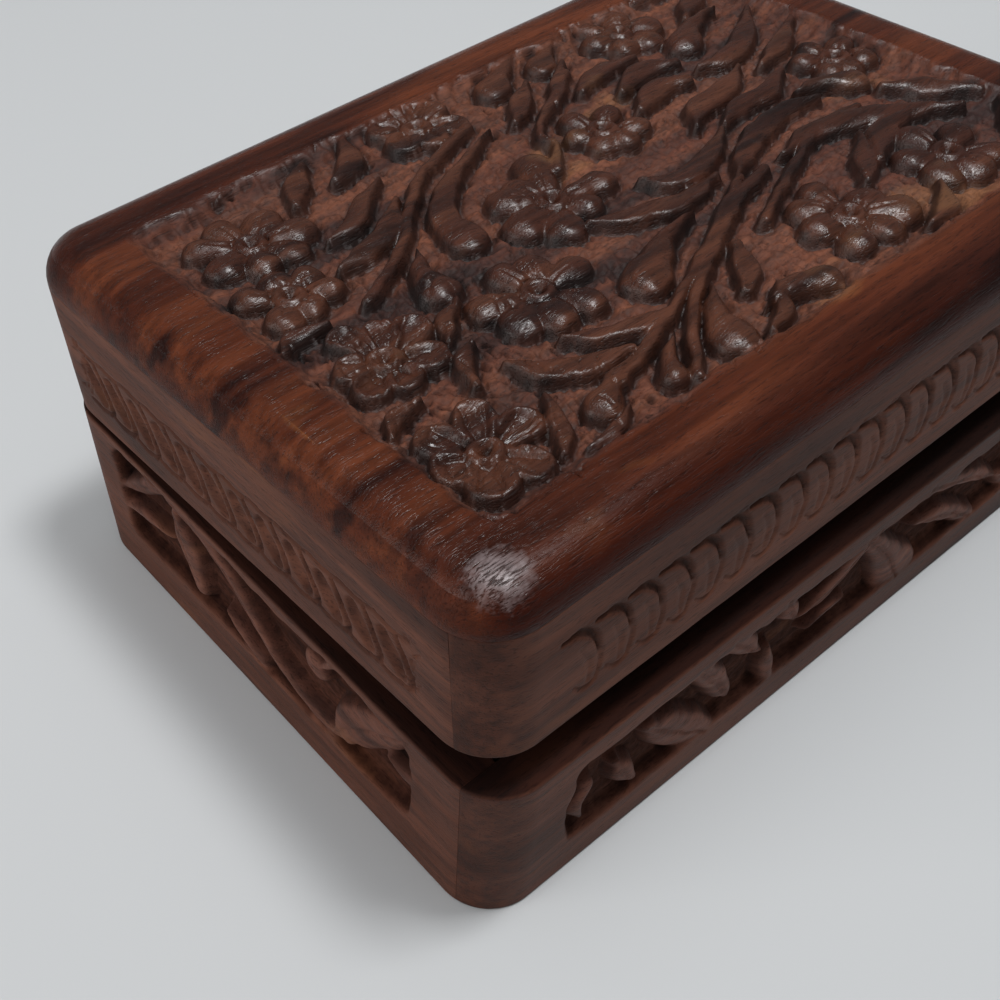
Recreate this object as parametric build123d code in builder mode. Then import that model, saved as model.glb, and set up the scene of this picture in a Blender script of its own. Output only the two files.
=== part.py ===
from build123d import *
import os
from math import atan, cos, degrees, radians, sin

os.makedirs("parts", exist_ok=True)

# A carved wooden trinket box with a hinged lid. The origin is the middle of the base's
# underside, X runs along the long front, -Y is the front and +Z is up.

# Base: four boards butted into a ring with rounded corners
box_length = 152.0
box_width = 108.0
base_height = 33.5
wall = 6.6
corner_radius = 9.0

# Lid: a ring of rails under one thick top board, and how far it stands open at rest
lid_end_inset = 0.3
lid_setback = 1.5
lid_side_height = 23.5
top_thickness = 6.5
top_edge_land = 0.2
rest_tilt = 4.0
open_travel = 105.0

# Bottom panel, let into a rebate of the base boards
panel_thickness = 3.2
rebate_width = 3.3
panel_clearance = 0.2

# Sunk field on the top board, with flowers, buds, long leaves and stems left standing
field_border = 11.3
field_depth = 2.0
field_corner = 3.0
petal_reach = 10.0
petal_length = 8.0
petal_width = 6.2
flower_eye_radius = 2.6
bud_radius = 3.5
bud_tail_width = 4.4
blade_width = 4.8
stem_width = 1.8

# Sunk panels on the four sides of the base, with slanted leaves left standing
side_panel_border = 16.0
side_panel_foot = 9.5
side_panel_head = 4.0
side_panel_depth = 2.0
side_panel_corner = 2.5
leaf_pitch = 19.0
leaf_length = 19.0
leaf_width = 6.5
leaf_slant = 52.0

# Bands of slanted cuts round the lid
band_border = 13.5
band_foot = 4.5
band_head = 6.0
band_depth = 0.9
cut_pitch = 5.8
cut_width = 2.2
cut_slant = 66.0

# Two small butt hinges, let into the back rims
hinge_end_distance = 28.0
hinge_inset = 1.6
rim_offset = 0.15
hinge_length = 20.0
hinge_edge_margin = 0.2
plate_thickness = 0.7
barrel_radius = 1.3
pin_radius = 0.6
pin_clearance = 0.04
knuckle_gap = 0.15
pin_head_radius = 0.9
pin_head_length = 0.4
groove_clearance = 0.2
mortise_clearance = 0.05
screw_spacing = 12.0
screw_edge = 0.35
screw_length = 6.0
screw_point = 1.6
shank_radius = 0.7
sink_depth = 0.6
slot_width = 0.4
slot_depth = 0.35
screw_clearance = 0.02
head_gap = 0.05
stop_gap = 0.15
cut_margin = 1.0

# Flowers: the place of each, as shares of the field's length and width from its middle, and
# the angles that its petals lie at
flowers = (
    ((-0.39, 0.32), (200, 253, 307, 347, 38, 97, 146)),
    ((-0.42, 0.14), (141, 226, 285, 340, 25, 85)),
    ((-0.41, -0.10), (100, 60, 22, 165, 214, 265, 322)),
    ((-0.43, -0.38), (233, 295, 8, 62, 120, 175)),
    ((-0.22, -0.14), (100, 163, 208, 251, 300, 8, 54)),
    ((-0.08, 0.04), (137, 194, 242, 305, 352, 102, 62)),
    ((0.14, -0.35), (172, 228, 285, 328, 8, 78, 125)),
    ((0.33, -0.35), (90, 150, 210, 265, 320, 25)),
    ((0.08, 0.15), (163, 103, 222, 275, 332, 42)),
    ((-0.08, 0.42), (207, 262, 322, 22, 85, 145)),
    ((0.28, 0.41), (178, 235, 292, 345, 52, 118)),
    ((0.43, 0.02), (150, 205, 262, 318, 30, 90)),
)
# Buds: the round head, a place on the way and the end of the tail, as such shares
buds = (
    ((-0.20, 0.06), (-0.16, 0.20), (-0.02, 0.30)),
    ((-0.29, -0.02), (-0.29, 0.04), (-0.26, 0.10)),
    ((-0.11, -0.24), (-0.05, -0.19), (0.02, -0.17)),
    ((-0.30, -0.42), (-0.27, -0.39), (-0.22, -0.37)),
    ((-0.22, -0.45), (-0.20, -0.41), (-0.16, -0.38)),
    ((-0.12, -0.45), (-0.11, -0.39), (-0.08, -0.33)),
    ((0.02, -0.45), (-0.02, -0.42), (-0.06, -0.43)),
    ((0.40, -0.06), (0.35, -0.03), (0.31, -0.02)),
    ((0.32, 0.28), (0.37, 0.32), (0.43, 0.34)),
    ((0.05, 0.43), (0.09, 0.46), (0.13, 0.48)),
    ((0.14, 0.43), (0.17, 0.46), (0.21, 0.48)),
)
# Long leaves: one end, the middle and the other end, as such shares
blades = (
    ((-0.33, -0.24), (-0.30, -0.31), (-0.22, -0.36)),
    ((-0.25, -0.26), (-0.21, -0.31), (-0.13, -0.32)),
    ((-0.08, -0.06), (-0.01, -0.11), (0.10, -0.11)),
    ((0.03, -0.02), (0.08, -0.07), (0.18, -0.01)),
    ((0.11, -0.14), (0.21, -0.06), (0.33, -0.06)),
    ((0.19, -0.15), (0.31, -0.16), (0.44, -0.28)),
    ((-0.32, 0.23), (-0.27, 0.26), (-0.20, 0.32)),
    ((-0.35, 0.14), (-0.28, 0.17), (-0.21, 0.24)),
    ((-0.05, -0.38), (-0.02, -0.34), (0.01, -0.28)),
    ((0.21, -0.31), (0.25, -0.27), (0.29, -0.21)),
    ((0.26, -0.28), (0.31, -0.23), (0.38, -0.22)),
    ((0.17, 0.03), (0.23, 0.09), (0.32, 0.13)),
    ((0.20, 0.00), (0.27, 0.03), (0.35, 0.06)),
    ((-0.30, 0.35), (-0.28, 0.41), (-0.25, 0.46)),
    ((-0.24, 0.37), (-0.20, 0.41), (-0.17, 0.48)),
    ((0.01, 0.29), (0.05, 0.34), (0.09, 0.39)),
    ((0.08, 0.29), (0.12, 0.34), (0.17, 0.40)),
    ((0.13, 0.29), (0.18, 0.32), (0.24, 0.31)),
    ((0.15, 0.15), (0.20, 0.19), (0.25, 0.17)),
    ((0.17, 0.23), (0.22, 0.26), (0.27, 0.24)),
    ((0.28, 0.19), (0.37, 0.20), (0.46, 0.29)),
    ((0.34, 0.10), (0.41, 0.13), (0.48, 0.19)),
    ((0.37, 0.35), (0.42, 0.40), (0.48, 0.44)),
    ((0.41, -0.12), (0.44, -0.18), (0.48, -0.27)),
    ((0.41, -0.46), (0.44, -0.40), (0.48, -0.31)),
)
# Stems: a place at each end and one between, as such shares
stems = (
    ((-0.36, 0.04), (-0.23, 0.18), (-0.04, 0.35)),
    ((-0.20, -0.47), (-0.06, -0.29), (0.15, -0.16)),
    ((-0.26, -0.40), (-0.08, -0.28), (0.11, -0.15)),
    ((-0.03, 0.11), (0.01, 0.22), (0.15, 0.37)),
    ((0.06, -0.27), (0.20, -0.18), (0.34, -0.13)),
)

# Worked-out sizes
lid_length = box_length - 2 * lid_end_inset
lid_width = box_width - lid_setback
lid_back_y = hinge_inset
lid_front_y = hinge_inset - lid_width
lid_middle_y = (lid_front_y + lid_back_y) / 2
top_level = rim_offset + lid_side_height
top_edge_radius = min(top_thickness, corner_radius) - top_edge_land
field_length = lid_length - 2 * field_border
field_width = lid_width - 2 * field_border
side_panel_height = base_height - side_panel_foot - side_panel_head
band_height = lid_side_height - band_foot - band_head
hinge_x = box_length / 2 - hinge_end_distance
plate_reach = wall - hinge_inset - hinge_edge_margin
plate_notch = barrel_radius + knuckle_gap
knuckle_length = (hinge_length - 2 * knuckle_gap) / 3
bore_radius = pin_radius + pin_clearance
groove_radius = barrel_radius + groove_clearance
groove_length = hinge_length + 2 * (pin_head_length + groove_clearance)
screw_setback = (plate_notch + plate_reach) / 2
head_radius = (plate_reach - plate_notch) / 2 - screw_edge
sink_angle = 2 * degrees(atan((head_radius - shank_radius) / sink_depth))
# The proud screw heads of the two leaves meet first, and so hold the lid ajar
head_proud = (2 * rim_offset + (screw_setback - head_radius) * sin(radians(rest_tilt)) - head_gap) / 2

# Frames: the base stands on XY, and the lid turns with a frame on the hinge line
tilt = radians(rest_tilt)
hinge_line = Vector(0, box_width / 2 - hinge_inset, base_height + rim_offset)
base_frame = Plane.XY
hinge_frame = Plane(origin=hinge_line, x_dir=(1, 0, 0), z_dir=(0, 0, 1))
lid_frame = Plane(origin=hinge_line, x_dir=(1, 0, 0), z_dir=(0, sin(tilt), cos(tilt)))


def outer_faces(frame, length, front_y, back_y):
    """Planes on the four outer faces of a ring of boards, each with its Y up the board."""
    middle_y = (front_y + back_y) / 2
    front = frame.from_local_coords((0, front_y, 0))
    back = frame.from_local_coords((0, back_y, 0))
    left = frame.from_local_coords((-length / 2, middle_y, 0))
    right = frame.from_local_coords((length / 2, middle_y, 0))
    return {
        "front": Plane(origin=front, x_dir=frame.x_dir, z_dir=-frame.y_dir),
        "back": Plane(origin=back, x_dir=-frame.x_dir, z_dir=frame.y_dir),
        "left": Plane(origin=left, x_dir=-frame.y_dir, z_dir=-frame.x_dir),
        "right": Plane(origin=right, x_dir=frame.y_dir, z_dir=frame.x_dir),
    }


base_faces = outer_faces(base_frame, box_length, -box_width / 2, box_width / 2)
lid_faces = outer_faces(lid_frame, lid_length, lid_front_y, lid_back_y)


def side_panel_ground(face, face_length):
    """The sunk ground of one side panel: all of the panel but its slanted leaves."""
    panel_length = face_length - 2 * side_panel_border
    leaf_count = int(panel_length / leaf_pitch)
    with BuildSketch(face) as ground:
        with Locations((0, side_panel_foot + side_panel_height / 2)):
            RectangleRounded(panel_length, side_panel_height, side_panel_corner)
            with GridLocations(leaf_pitch, 0, leaf_count, 1):
                Ellipse(leaf_length / 2, leaf_width / 2, rotation=leaf_slant, mode=Mode.SUBTRACT)
    return ground.sketch


def band_cuts(face, face_length):
    """The slanted cuts of one band, side by side along the rail."""
    cut_count = int((face_length - 2 * band_border) / cut_pitch)
    with BuildSketch(face) as cuts:
        with Locations((0, rim_offset + band_foot + band_height / 2)):
            with GridLocations(cut_pitch, 0, cut_count, 1):
                SlotOverall(band_height, cut_width, rotation=cut_slant)
    return cuts.sketch


def stop_wedge(section):
    """The wedge taken off a back arris. The two slopes meet when the lid is fully open."""
    slope = radians((open_travel + rest_tilt) / 2)
    rim_side = rim_offset - cut_margin
    back_side = -hinge_inset - cut_margin
    rim_point = ((stop_gap - rim_side * cos(slope)) / sin(slope), rim_side)
    back_point = (back_side, (stop_gap - back_side * sin(slope)) / cos(slope))
    with BuildSketch(section) as wedge:
        with BuildLine():
            Polyline(rim_point, (back_side, rim_side), back_point, close=True)
        make_face()
    return wedge.sketch


def leaf_frame(frame, x, into):
    """Frame of one hinge leaf: X along the barrel, Y to the inside, Z into its own board."""
    origin = frame.from_local_coords((x, 0, 0))
    return Plane(origin=origin, x_dir=frame.x_dir * -into, z_dir=frame.z_dir * into)


def section_plane(frame):
    """The plane square to the barrel, through a leaf frame's origin."""
    return Plane(origin=frame.origin, x_dir=frame.y_dir, z_dir=frame.x_dir)


def screw_face(frame):
    """The leaf's bare face, at the line of its screws, looking out of the board."""
    origin = frame.from_local_coords((0, screw_setback, rim_offset))
    return Plane(origin=origin, x_dir=frame.x_dir, z_dir=-frame.z_dir)


def plate_outline(frame, clearance):
    """The rectangle of a leaf's plate, from the hinge axis to its inner edge."""
    with BuildSketch(frame.offset(rim_offset)) as outline:
        with Locations((0, (plate_reach + clearance) / 2)):
            Rectangle(hinge_length + 2 * clearance, plate_reach + clearance)
    return outline.sketch


def hinge_seat(frame):
    """What a board loses to one leaf: the plate's mortise, the barrel's groove, two holes."""
    with BuildPart() as seat:
        extrude(plate_outline(frame, mortise_clearance), amount=plate_thickness)
        with Locations(section_plane(frame)):
            Cylinder(groove_radius, groove_length)
        with Locations(screw_face(frame)):
            with GridLocations(screw_spacing, 0, 2, 1):
                Cylinder(
                    shank_radius + screw_clearance,
                    screw_length + screw_clearance,
                    align=(Align.CENTER, Align.CENTER, Align.MAX),
                )
    return seat.part


def hinge_leaf(frame, knuckles, notches):
    """One brass leaf: a plate with rolled knuckles, notched back where the other leaf's run."""
    with BuildPart() as leaf:
        extrude(plate_outline(frame, 0), amount=plate_thickness)
        with BuildSketch(frame.offset(rim_offset)):
            with Locations(*[(place, 0) for place in notches]):
                Rectangle(knuckle_length + 2 * knuckle_gap, 2 * plate_notch)
        extrude(amount=plate_thickness, mode=Mode.SUBTRACT)
        with Locations(section_plane(frame)):
            with Locations(*[(0, 0, place) for place in knuckles]):
                Cylinder(barrel_radius, knuckle_length)
            Cylinder(bore_radius, hinge_length + cut_margin, mode=Mode.SUBTRACT)
        with Locations(screw_face(frame)):
            with GridLocations(screw_spacing, 0, 2, 1):
                CounterSinkHole(
                    shank_radius + screw_clearance,
                    head_radius + screw_clearance,
                    depth=cut_margin,
                    counter_sink_angle=sink_angle,
                )
    return leaf.part


outer_knuckles = (-knuckle_length - knuckle_gap, knuckle_length + knuckle_gap)
middle_knuckle = (0,)
hinge_places = {"left": -hinge_x, "right": hinge_x}
base_leaf_frames = {side: leaf_frame(hinge_frame, x, -1) for side, x in hinge_places.items()}
lid_leaf_frames = {side: leaf_frame(lid_frame, x, 1) for side, x in hinge_places.items()}

# Plans of the two rings in their own frames, and of the rebate that holds the bottom panel
with BuildSketch(base_frame) as base_plan:
    RectangleRounded(box_length, box_width, corner_radius)

with BuildSketch() as lid_plan:
    with Locations((0, lid_middle_y)):
        RectangleRounded(lid_length, lid_width, corner_radius)

rebate_inset = wall - rebate_width
with BuildSketch(base_frame) as rebate_plan:
    RectangleRounded(
        box_length - 2 * rebate_inset,
        box_width - 2 * rebate_inset,
        corner_radius - rebate_inset,
    )

# Base front board: runs the whole length, over the ends of the short boards
with BuildPart() as base_front_board:
    with BuildSketch(base_frame):
        add(base_plan.sketch)
        with Locations((0, -(box_width - wall) / 2)):
            Rectangle(box_length, wall, mode=Mode.INTERSECT)
    extrude(amount=base_height)
    extrude(rebate_plan.sketch, amount=panel_thickness, mode=Mode.SUBTRACT)
    extrude(
        side_panel_ground(base_faces["front"], box_length),
        amount=-side_panel_depth,
        mode=Mode.SUBTRACT,
    )
base_front_board.part.label = "base_front_board"
export_step(base_front_board.part, "parts/base_front_board.step")

# Base back board: as the front one, with the hinge seats and the sloped back arris
with BuildPart() as base_back_board:
    with BuildSketch(base_frame):
        add(base_plan.sketch)
        with Locations((0, (box_width - wall) / 2)):
            Rectangle(box_length, wall, mode=Mode.INTERSECT)
    extrude(amount=base_height)
    extrude(rebate_plan.sketch, amount=panel_thickness, mode=Mode.SUBTRACT)
    extrude(
        side_panel_ground(base_faces["back"], box_length),
        amount=-side_panel_depth,
        mode=Mode.SUBTRACT,
    )
    extrude(
        stop_wedge(section_plane(leaf_frame(hinge_frame, 0, -1))),
        amount=box_length,
        both=True,
        mode=Mode.SUBTRACT,
    )
    for frame in base_leaf_frames.values():
        add(hinge_seat(frame), mode=Mode.SUBTRACT)
base_back_board.part.label = "base_back_board"
export_step(base_back_board.part, "parts/base_back_board.step")

# Base end boards: between the long boards, at the left and the right
short_board_length = box_width - 2 * wall
for side, sign in (("left", -1), ("right", 1)):
    with BuildPart() as base_end_board:
        with BuildSketch(base_frame):
            add(base_plan.sketch)
            with Locations((sign * (box_length - wall) / 2, 0)):
                Rectangle(wall, short_board_length, mode=Mode.INTERSECT)
        extrude(amount=base_height)
        extrude(rebate_plan.sketch, amount=panel_thickness, mode=Mode.SUBTRACT)
        extrude(
            side_panel_ground(base_faces[side], box_width),
            amount=-side_panel_depth,
            mode=Mode.SUBTRACT,
        )
    base_end_board.part.label = f"base_{side}_board"
    export_step(base_end_board.part, f"parts/base_{side}_board.step")

# Base bottom panel: a thin board in the rebate, flush with the underside
with BuildPart() as base_bottom_panel:
    with BuildSketch(base_frame):
        offset(rebate_plan.sketch, amount=-panel_clearance)
    extrude(amount=panel_thickness)
base_bottom_panel.part.label = "base_bottom_panel"
export_step(base_bottom_panel.part, "parts/base_bottom_panel.step")

# Lid front rail: runs the whole length, like the base's front board
with BuildPart() as lid_front_rail:
    with BuildSketch(lid_frame.offset(rim_offset)):
        add(lid_plan.sketch)
        with Locations((0, lid_front_y + wall / 2)):
            Rectangle(lid_length, wall, mode=Mode.INTERSECT)
    extrude(amount=lid_side_height)
    extrude(band_cuts(lid_faces["front"], lid_length), amount=-band_depth, mode=Mode.SUBTRACT)
lid_front_rail.part.label = "lid_front_rail"
export_step(lid_front_rail.part, "parts/lid_front_rail.step")

# Lid back rail: carries the two hinges, with a sloped arris that meets the base's
with BuildPart() as lid_back_rail:
    with BuildSketch(lid_frame.offset(rim_offset)):
        add(lid_plan.sketch)
        with Locations((0, lid_back_y - wall / 2)):
            Rectangle(lid_length, wall, mode=Mode.INTERSECT)
    extrude(amount=lid_side_height)
    extrude(band_cuts(lid_faces["back"], lid_length), amount=-band_depth, mode=Mode.SUBTRACT)
    extrude(
        stop_wedge(section_plane(leaf_frame(lid_frame, 0, 1))),
        amount=box_length,
        both=True,
        mode=Mode.SUBTRACT,
    )
    for frame in lid_leaf_frames.values():
        add(hinge_seat(frame), mode=Mode.SUBTRACT)
lid_back_rail.part.label = "lid_back_rail"
export_step(lid_back_rail.part, "parts/lid_back_rail.step")

# Lid end rails: between the long rails
short_rail_length = lid_width - 2 * wall
for side, sign in (("left", -1), ("right", 1)):
    with BuildPart() as lid_end_rail:
        with BuildSketch(lid_frame.offset(rim_offset)):
            add(lid_plan.sketch)
            with Locations((sign * (lid_length - wall) / 2, lid_middle_y)):
                Rectangle(wall, short_rail_length, mode=Mode.INTERSECT)
        extrude(amount=lid_side_height)
        extrude(band_cuts(lid_faces[side], lid_width), amount=-band_depth, mode=Mode.SUBTRACT)
    lid_end_rail.part.label = f"lid_{side}_rail"
    export_step(lid_end_rail.part, f"parts/lid_{side}_rail.step")

# Lid top board: one thick board with a rounded upper edge and the carved field
def on_field(share):
    """A point of the field from its shares of length and width."""
    return Vector(share[0] * field_length, share[1] * field_width)


def leaf_between(first, middle, last, width):
    """A leaf bounded by two arcs that meet in a point at each end."""
    half_across = (last - first).rotate(Axis.Z, 90).normalized() * (width / 2)
    with BuildSketch() as leaf:
        with BuildLine():
            ThreePointArc(first, middle + half_across, last)
            ThreePointArc(last, middle - half_across, first)
        make_face()
    return leaf.sketch


def flower_petals(place, angles):
    """The petals of one flower and its round eye."""
    with BuildSketch() as petals:
        with Locations(on_field(place)):
            Circle(flower_eye_radius)
            for angle in angles:
                with PolarLocations(petal_reach - petal_length / 2, 1, start_angle=angle):
                    Ellipse(petal_length / 2, petal_width / 2)
    return petals.sketch


def bud_outline(head, middle, tail):
    """A round bud on a leaf that thins to its tail."""
    with BuildSketch() as bud:
        with Locations(on_field(head)):
            Circle(bud_radius)
        add(leaf_between(on_field(head), on_field(middle), on_field(tail), bud_tail_width))
    return bud.sketch


def stem_outline(first, middle, last):
    """A thin even stem along an arc."""
    with BuildSketch() as stem:
        with BuildLine():
            ThreePointArc(on_field(first), on_field(middle), on_field(last))
        trace(line_width=stem_width)
    return stem.sketch


with BuildSketch() as carving_left_standing:
    for place, angles in flowers:
        add(flower_petals(place, angles))
    for head, middle, tail in buds:
        add(bud_outline(head, middle, tail))
    for first, middle, last in blades:
        add(leaf_between(on_field(first), on_field(middle), on_field(last), blade_width))
    for first, middle, last in stems:
        add(stem_outline(first, middle, last))

top_surface = lid_frame.offset(top_level + top_thickness)
with BuildSketch(top_surface) as field_ground:
    with Locations((0, lid_middle_y)):
        RectangleRounded(field_length, field_width, field_corner)
        add(carving_left_standing.sketch, mode=Mode.SUBTRACT)

with BuildPart() as lid_top_board:
    with BuildSketch(lid_frame.offset(top_level)):
        add(lid_plan.sketch)
    extrude(amount=top_thickness)
    upper_face = lid_top_board.faces().sort_by(Axis(hinge_line, lid_frame.z_dir))[-1]
    fillet(upper_face.edges(), radius=top_edge_radius)
    extrude(field_ground.sketch, amount=-field_depth, mode=Mode.SUBTRACT)
lid_top_board.part.label = "lid_top_board"
export_step(lid_top_board.part, "parts/lid_top_board.step")

# Hinges: in each, two leaves on one pin. The base leaf has the outer knuckles
for side in hinge_places:
    base_leaf = hinge_leaf(base_leaf_frames[side], outer_knuckles, middle_knuckle)
    base_leaf.label = f"{side}_hinge_base_leaf"
    export_step(base_leaf, f"parts/{side}_hinge_base_leaf.step")

    lid_leaf = hinge_leaf(lid_leaf_frames[side], middle_knuckle, outer_knuckles)
    lid_leaf.label = f"{side}_hinge_lid_leaf"
    export_step(lid_leaf, f"parts/{side}_hinge_lid_leaf.step")

    with BuildPart() as hinge_pin:
        with Locations(section_plane(base_leaf_frames[side])):
            Cylinder(pin_radius, hinge_length + 2 * pin_head_length)
            with Locations((0, 0, hinge_length / 2), (0, 0, -hinge_length / 2 - pin_head_length)):
                Cylinder(
                    pin_head_radius,
                    pin_head_length,
                    align=(Align.CENTER, Align.CENTER, Align.MIN),
                )
    hinge_pin.part.label = f"{side}_hinge_pin"
    export_step(hinge_pin.part, f"parts/{side}_hinge_pin.step")

# Hinge screws: slotted and countersunk, two in each leaf, with their heads a little proud
with BuildPart() as screw:
    with BuildSketch(Plane.XZ):
        with BuildLine():
            Polyline(
                (0, head_proud),
                (head_radius, head_proud),
                (head_radius, 0),
                (shank_radius, -sink_depth),
                (shank_radius, screw_point - screw_length),
                (0, -screw_length),
                close=True,
            )
        make_face()
    revolve(axis=Axis.Z)
    with Locations((0, 0, head_proud)):
        Box(2 * head_radius + cut_margin, slot_width, 2 * slot_depth, mode=Mode.SUBTRACT)

for side in hinge_places:
    for board, frames in (("base", base_leaf_frames), ("lid", lid_leaf_frames)):
        with BuildPart() as hinge_screws:
            with Locations(screw_face(frames[side])):
                with GridLocations(screw_spacing, 0, 2, 1):
                    add(screw.part)
        hinge_screws.part.label = f"{side}_hinge_{board}_screws"
        export_step(hinge_screws.part, f"parts/{side}_hinge_{board}_screws.step")
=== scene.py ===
import math

import bpy
import numpy as np
from mathutils import Matrix, Vector


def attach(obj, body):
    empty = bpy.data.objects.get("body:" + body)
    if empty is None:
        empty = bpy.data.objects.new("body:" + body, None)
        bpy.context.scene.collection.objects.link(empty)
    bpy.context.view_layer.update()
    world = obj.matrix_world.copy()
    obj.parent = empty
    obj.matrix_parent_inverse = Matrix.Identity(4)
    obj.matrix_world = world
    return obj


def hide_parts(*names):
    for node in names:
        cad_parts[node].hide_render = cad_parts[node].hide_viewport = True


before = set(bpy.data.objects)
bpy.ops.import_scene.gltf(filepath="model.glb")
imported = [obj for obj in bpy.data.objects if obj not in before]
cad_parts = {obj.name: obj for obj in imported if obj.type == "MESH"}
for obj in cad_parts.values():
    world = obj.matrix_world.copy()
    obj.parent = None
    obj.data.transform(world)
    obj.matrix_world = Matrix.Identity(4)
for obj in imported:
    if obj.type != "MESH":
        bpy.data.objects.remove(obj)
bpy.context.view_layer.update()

bpy.ops.object.select_all(action="DESELECT")

# The photograph's view: a camera held close over the near left corner, and turned a little.
# Its place, turn and focal length were fitted to the straight edges of the box.
bpy.ops.object.camera_add(
    location=(-0.13577, -0.11104, 0.18496),
    rotation=(math.radians(38.965), math.radians(0.439), math.radians(-40.099)),
)
camera = bpy.context.object
camera.data.sensor_width = 36
camera.data.lens = 47.08
camera.data.shift_x = 0.0864
camera.data.shift_y = 0.0823
camera.data.dof.use_dof = False
camera.data.clip_start = 0.01
bpy.context.scene.camera = camera

# The table: a pale grey sheet of card, matt and even, that runs on past the picture.
# It isn't part of the box, and only takes its shadow.
floor_half = 1.5
floor_grey = (0.62, 0.63, 0.635, 1)
bpy.ops.mesh.primitive_plane_add(size=2 * floor_half, location=(0, 0, 0))
floor = bpy.context.object
floor.name = "table_top"


def new_material(name):
    """A material, its node tree and its shader."""
    material = bpy.data.materials.new(name)
    material.use_nodes = True
    return material, material.node_tree, material.node_tree.nodes["Principled BSDF"]


card, tree, shader = new_material("pale_card")
shader.inputs["Roughness"].default_value = 0.85
shader.inputs["Specular IOR Level"].default_value = 0.2
shader.inputs["Base Color"].default_value = floor_grey
floor.data.materials.append(card)

# The light: a lamp high above, a little to the right and front, that gives the highlights on
# the crowns, a broad one from the left, as from a window, and a room that is bright overhead.
bpy.context.scene.view_settings.view_transform = "Standard"


def soft_lamp(name, place, size, watts, colour):
    """A square lamp of that size, in metres, aimed at the middle of the box."""
    bpy.ops.object.light_add(type="AREA", location=place)
    lamp = bpy.context.object
    lamp.name = name
    lamp.data.size = size
    lamp.data.energy = watts
    lamp.data.color = colour
    toward = Vector((0, 0, 0.03)) - lamp.location
    lamp.rotation_euler = toward.to_track_quat("-Z", "Y").to_euler()


soft_lamp("lamp_above", (0.13, -0.10, 0.95), 0.17, 4.2, (0.98, 0.99, 1.0))
soft_lamp("window_left", (-1.2, 0.25, 0.60), 0.9, 6.5, (1.0, 0.985, 0.97))
room = bpy.data.worlds.new("room")
room.use_nodes = True
tree = room.node_tree
way_up = tree.nodes.new("ShaderNodeSeparateXYZ")
tree.links.new(tree.nodes.new("ShaderNodeTexCoord").outputs["Generated"], way_up.inputs["Vector"])
overhead = tree.nodes.new("ShaderNodeValToRGB")
overhead.color_ramp.elements[0].color = (0.14, 0.145, 0.15, 1)
overhead.color_ramp.elements[1].color = (1.82, 1.87, 1.92, 1)
overhead.color_ramp.elements.new(0.84).color = (0.15, 0.152, 0.155, 1)
tree.links.new(way_up.outputs["Z"], overhead.inputs["Fac"])
tree.links.new(overhead.outputs["Color"], tree.nodes["Background"].inputs["Color"])
bpy.context.scene.world = room

# Front and back boards of the base: dark hardwood, 6.6 mm thick, run over the ends of the
# short boards and rounded there. Each has a sunk panel cut with gouges, whose vine and
# leaves were left standing, and a rebate below that holds the bottom panel.
mm = 0.001
box_length = 152.0
box_width = 108.0
base_height = 33.5
wall = 6.6
corner_radius = 9.0
arris = 0.45


def patches(across, up, size, seed):
    """Smooth random heights from -1 to 1, in patches of about that many millimetres."""
    rows, columns = 97, 89
    lattice = np.random.default_rng(seed).uniform(-1, 1, (rows, columns))
    column, row = across / size, up / size
    left, low = np.floor(column).astype(int), np.floor(row).astype(int)
    x, y = column - left, row - low
    x, y = x * x * (3 - 2 * x), y * y * (3 - 2 * y)

    def corner(right, above):
        return lattice[(low + above) % rows, (left + right) % columns]

    lower = corner(0, 0) * (1 - x) + corner(1, 0) * x
    upper = corner(0, 1) * (1 - x) + corner(1, 1) * x
    return lower * (1 - y) + upper * y


def ease(share):
    """A smooth step from 0 to 1."""
    share = np.clip(share, 0, 1)
    return share * share * (3 - 2 * share)


def soften(heights, times):
    """The heights, each averaged with its neighbours that many times."""
    for _ in range(times):
        padded = np.pad(heights, 1, mode="edge")
        beside = padded[1:-1, :-2] + padded[1:-1, 2:] + padded[:-2, 1:-1] + padded[2:, 1:-1]
        heights = (heights + beside) / 5
    return heights


def smooth_route(points, widths):
    """A smooth line through the given points, with the half width at each step."""
    points = [np.array(p, float) for p in points]
    if len(points) == 2:
        points.insert(1, (points[0] + points[1]) / 2)
        widths = (widths[0], (widths[0] + widths[1]) / 2, widths[1])
    ends = [2 * points[0] - points[1], *points, 2 * points[-1] - points[-2]]
    route, halves = [], []
    for i in range(len(points) - 1):
        a, b, c, d = ends[i : i + 4]
        for t in np.linspace(0, 1, 8, endpoint=i == len(points) - 2):
            curve = 2 * b + (c - a) * t + (2 * a - 5 * b + 4 * c - d) * t**2
            route.append((curve + (3 * b - a - 3 * c + d) * t**3) / 2)
            eased = t * t * (3 - 2 * t)
            halves.append(widths[i] * (1 - eased) + widths[i + 1] * eased)
    return np.array(route), np.array(halves)


wall_slope = 2.7
stop_cut_depth, stop_cut_width = 1.0, 0.8


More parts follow.
